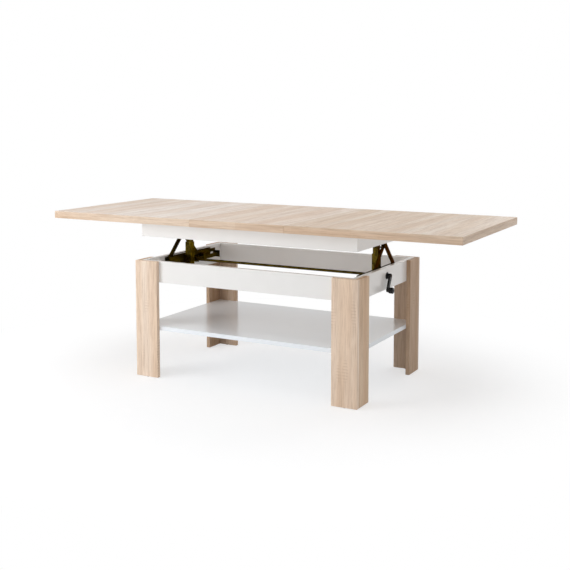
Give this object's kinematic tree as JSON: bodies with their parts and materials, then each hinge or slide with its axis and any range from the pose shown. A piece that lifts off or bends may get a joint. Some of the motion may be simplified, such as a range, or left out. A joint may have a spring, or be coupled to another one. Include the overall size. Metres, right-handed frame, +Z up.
{
  "type": "extending lift coffee table",
  "caption": "Coffee table with L-shaped legs, a shelf, a crank-driven scissor lift under the top, and a top whose halves part for a leaf.",
  "frame": {"origin": "on the floor under the middle of the table, top raised and extended", "axes": "+X along the table to the crank end, -Y to the front, +Z up"},
  "size_m": [1.7, 0.66, 0.632],
  "materials": {
    "oak_laminate": "sonoma oak laminate, matt with open grain",
    "white_laminate": "white melamine laminate, satin",
    "beech": "plain beech, unfinished",
    "passivated_steel": "yellow zinc passivated steel",
    "zinc_steel": "bright zinc plated steel",
    "black_gloss_plastic": "black moulded plastic, gloss",
    "black_plastic": "black nylon, matt"
  },
  "bodies": {
    "frame": {"leg_face_front_left": "oak_laminate", "leg_side_front_left": "oak_laminate", "leg_face_front_right": "oak_laminate", "leg_side_front_right": "oak_laminate", "leg_face_back_left": "oak_laminate", "leg_side_back_left": "oak_laminate", "leg_face_back_right": "oak_laminate", "leg_side_back_right": "oak_laminate", "leg_glides": "black_plastic", "frame_rail_front": "white_laminate", "frame_rail_back": "white_laminate", "frame_rail_left": "white_laminate", "frame_rail_right": "white_laminate", "shelf": "white_laminate", "wood_dowels": "beech", "base_trough_left": "passivated_steel", "base_trough_right": "passivated_steel", "trough_screws": "zinc_steel", "bearing_bushes": "black_plastic", "foot_pivot_pins": "passivated_steel", "column_outer_left": "passivated_steel", "column_outer_right": "passivated_steel", "guide_collars": "passivated_steel", "crank_bush": "black_plastic"},
    "lift": {"apron_rail_front": "white_laminate", "apron_rail_back": "white_laminate", "apron_rail_left": "white_laminate", "apron_rail_right": "white_laminate", "apron_corner_blocks": "beech", "lift_bracket_left": "passivated_steel", "lift_bracket_right": "passivated_steel", "bracket_screws": "zinc_steel", "column_inner_left": "passivated_steel", "column_inner_right": "passivated_steel", "guide_bar_front": "beech", "guide_bar_back": "beech"},
    "top_left": {"top_half_left": "oak_laminate", "runners_left": "beech", "runner_screws_left": "zinc_steel"},
    "top_right": {"top_half_right": "oak_laminate", "runners_right": "beech", "runner_screws_right": "zinc_steel"},
    "leaf": {"centre_leaf": "oak_laminate"},
    "drive": {"drive_shaft": "passivated_steel", "shaft_gears": "passivated_steel", "crank_arm": "black_gloss_plastic", "crank_pin": "zinc_steel"},
    "knob": {"crank_knob": "black_gloss_plastic"},
    "screw_left": {"spindle_left": "passivated_steel"},
    "nut_left": {"spindle_nut_left": "passivated_steel"},
    "arm_up_left": {"upper_arm_left": "passivated_steel"},
    "arm_low_left": {"lower_arm_left": "passivated_steel"},
    "screw_right": {"spindle_right": "passivated_steel"},
    "nut_right": {"spindle_nut_right": "passivated_steel"},
    "arm_up_right": {"upper_arm_right": "passivated_steel"},
    "arm_low_right": {"lower_arm_right": "passivated_steel"}
  },
  "joints": [
    {"name": "table_lift", "type": "slide", "parent": "frame", "child": "lift", "axis": [0, 0, 1], "range_m": [-0.091, 0]},
    {"name": "top_left_slide", "type": "slide", "parent": "lift", "child": "top_left", "axis": [-1, 0, 0], "range_m": [0, 0.03]},
    {"name": "top_right_slide", "type": "slide", "parent": "lift", "child": "top_right", "axis": [1, 0, 0], "range_m": [0, 0.03]},
    {"name": "leaf_lift_out", "type": "slide", "parent": "lift", "child": "leaf", "axis": [0, 0, 1], "range_m": [0, 0.06]},
    {"name": "crank_turn", "type": "hinge", "parent": "frame", "child": "drive", "pos_m": [0, 0, 0.425], "axis": [1, 0, 0], "range_deg": [0, 4320]},
    {"name": "knob_spin", "type": "hinge", "parent": "drive", "child": "knob", "pos_m": [0.474, -0.02411, 0.37557], "axis": [1, 0, 0], "continuous": true},
    {"name": "screw_turn_left", "type": "hinge", "parent": "frame", "child": "screw_left", "pos_m": [-0.402, 0, 0.425], "axis": [0, 1, 0], "range_deg": [0, 4320]},
    {"name": "arm_up_pivot_left", "type": "hinge", "parent": "frame", "child": "arm_up_left", "pos_m": [-0.434, -0.138, 0.431], "axis": [-1, 0, 0], "range_deg": [0, 40.15]},
    {"name": "arm_apex_left", "type": "hinge", "parent": "arm_up_left", "child": "arm_low_left", "pos_m": [-0.429, -0.033, 0.536], "axis": [-1, 0, 0], "range_deg": [-80.29, 0]},
    {"name": "nut_pivot_left", "type": "hinge", "parent": "arm_low_left", "child": "nut_left", "pos_m": [-0.42, 0.072, 0.431], "axis": [-1, 0, 0], "range_deg": [0, 40.15]},
    {"name": "screw_turn_right", "type": "hinge", "parent": "frame", "child": "screw_right", "pos_m": [0.402, 0, 0.425], "axis": [0, 1, 0], "range_deg": [0, 4320]},
    {"name": "arm_up_pivot_right", "type": "hinge", "parent": "frame", "child": "arm_up_right", "pos_m": [0.434, 0.138, 0.431], "axis": [1, 0, 0], "range_deg": [0, 40.15]},
    {"name": "arm_apex_right", "type": "hinge", "parent": "arm_up_right", "child": "arm_low_right", "pos_m": [0.429, 0.033, 0.536], "axis": [1, 0, 0], "range_deg": [-80.29, 0]},
    {"name": "nut_pivot_right", "type": "hinge", "parent": "arm_low_right", "child": "nut_right", "pos_m": [0.42, -0.072, 0.431], "axis": [1, 0, 0], "range_deg": [0, 40.15]}
  ],
  "couplings": [
    {"joint": "crank_turn", "follows": "table_lift", "rad_per_m": -828.55},
    {"joint": "screw_turn_left", "follows": "table_lift", "rad_per_m": -828.55},
    {"joint": "arm_up_pivot_left", "follows": "table_lift", "rad_per_m": -7.7},
    {"joint": "arm_apex_left", "follows": "table_lift", "rad_per_m": 15.4},
    {"joint": "nut_pivot_left", "follows": "table_lift", "rad_per_m": -7.7},
    {"joint": "screw_turn_right", "follows": "table_lift", "rad_per_m": -828.55},
    {"joint": "arm_up_pivot_right", "follows": "table_lift", "rad_per_m": -7.7},
    {"joint": "arm_apex_right", "follows": "table_lift", "rad_per_m": 15.4},
    {"joint": "nut_pivot_right", "follows": "table_lift", "rad_per_m": -7.7}
  ]
}
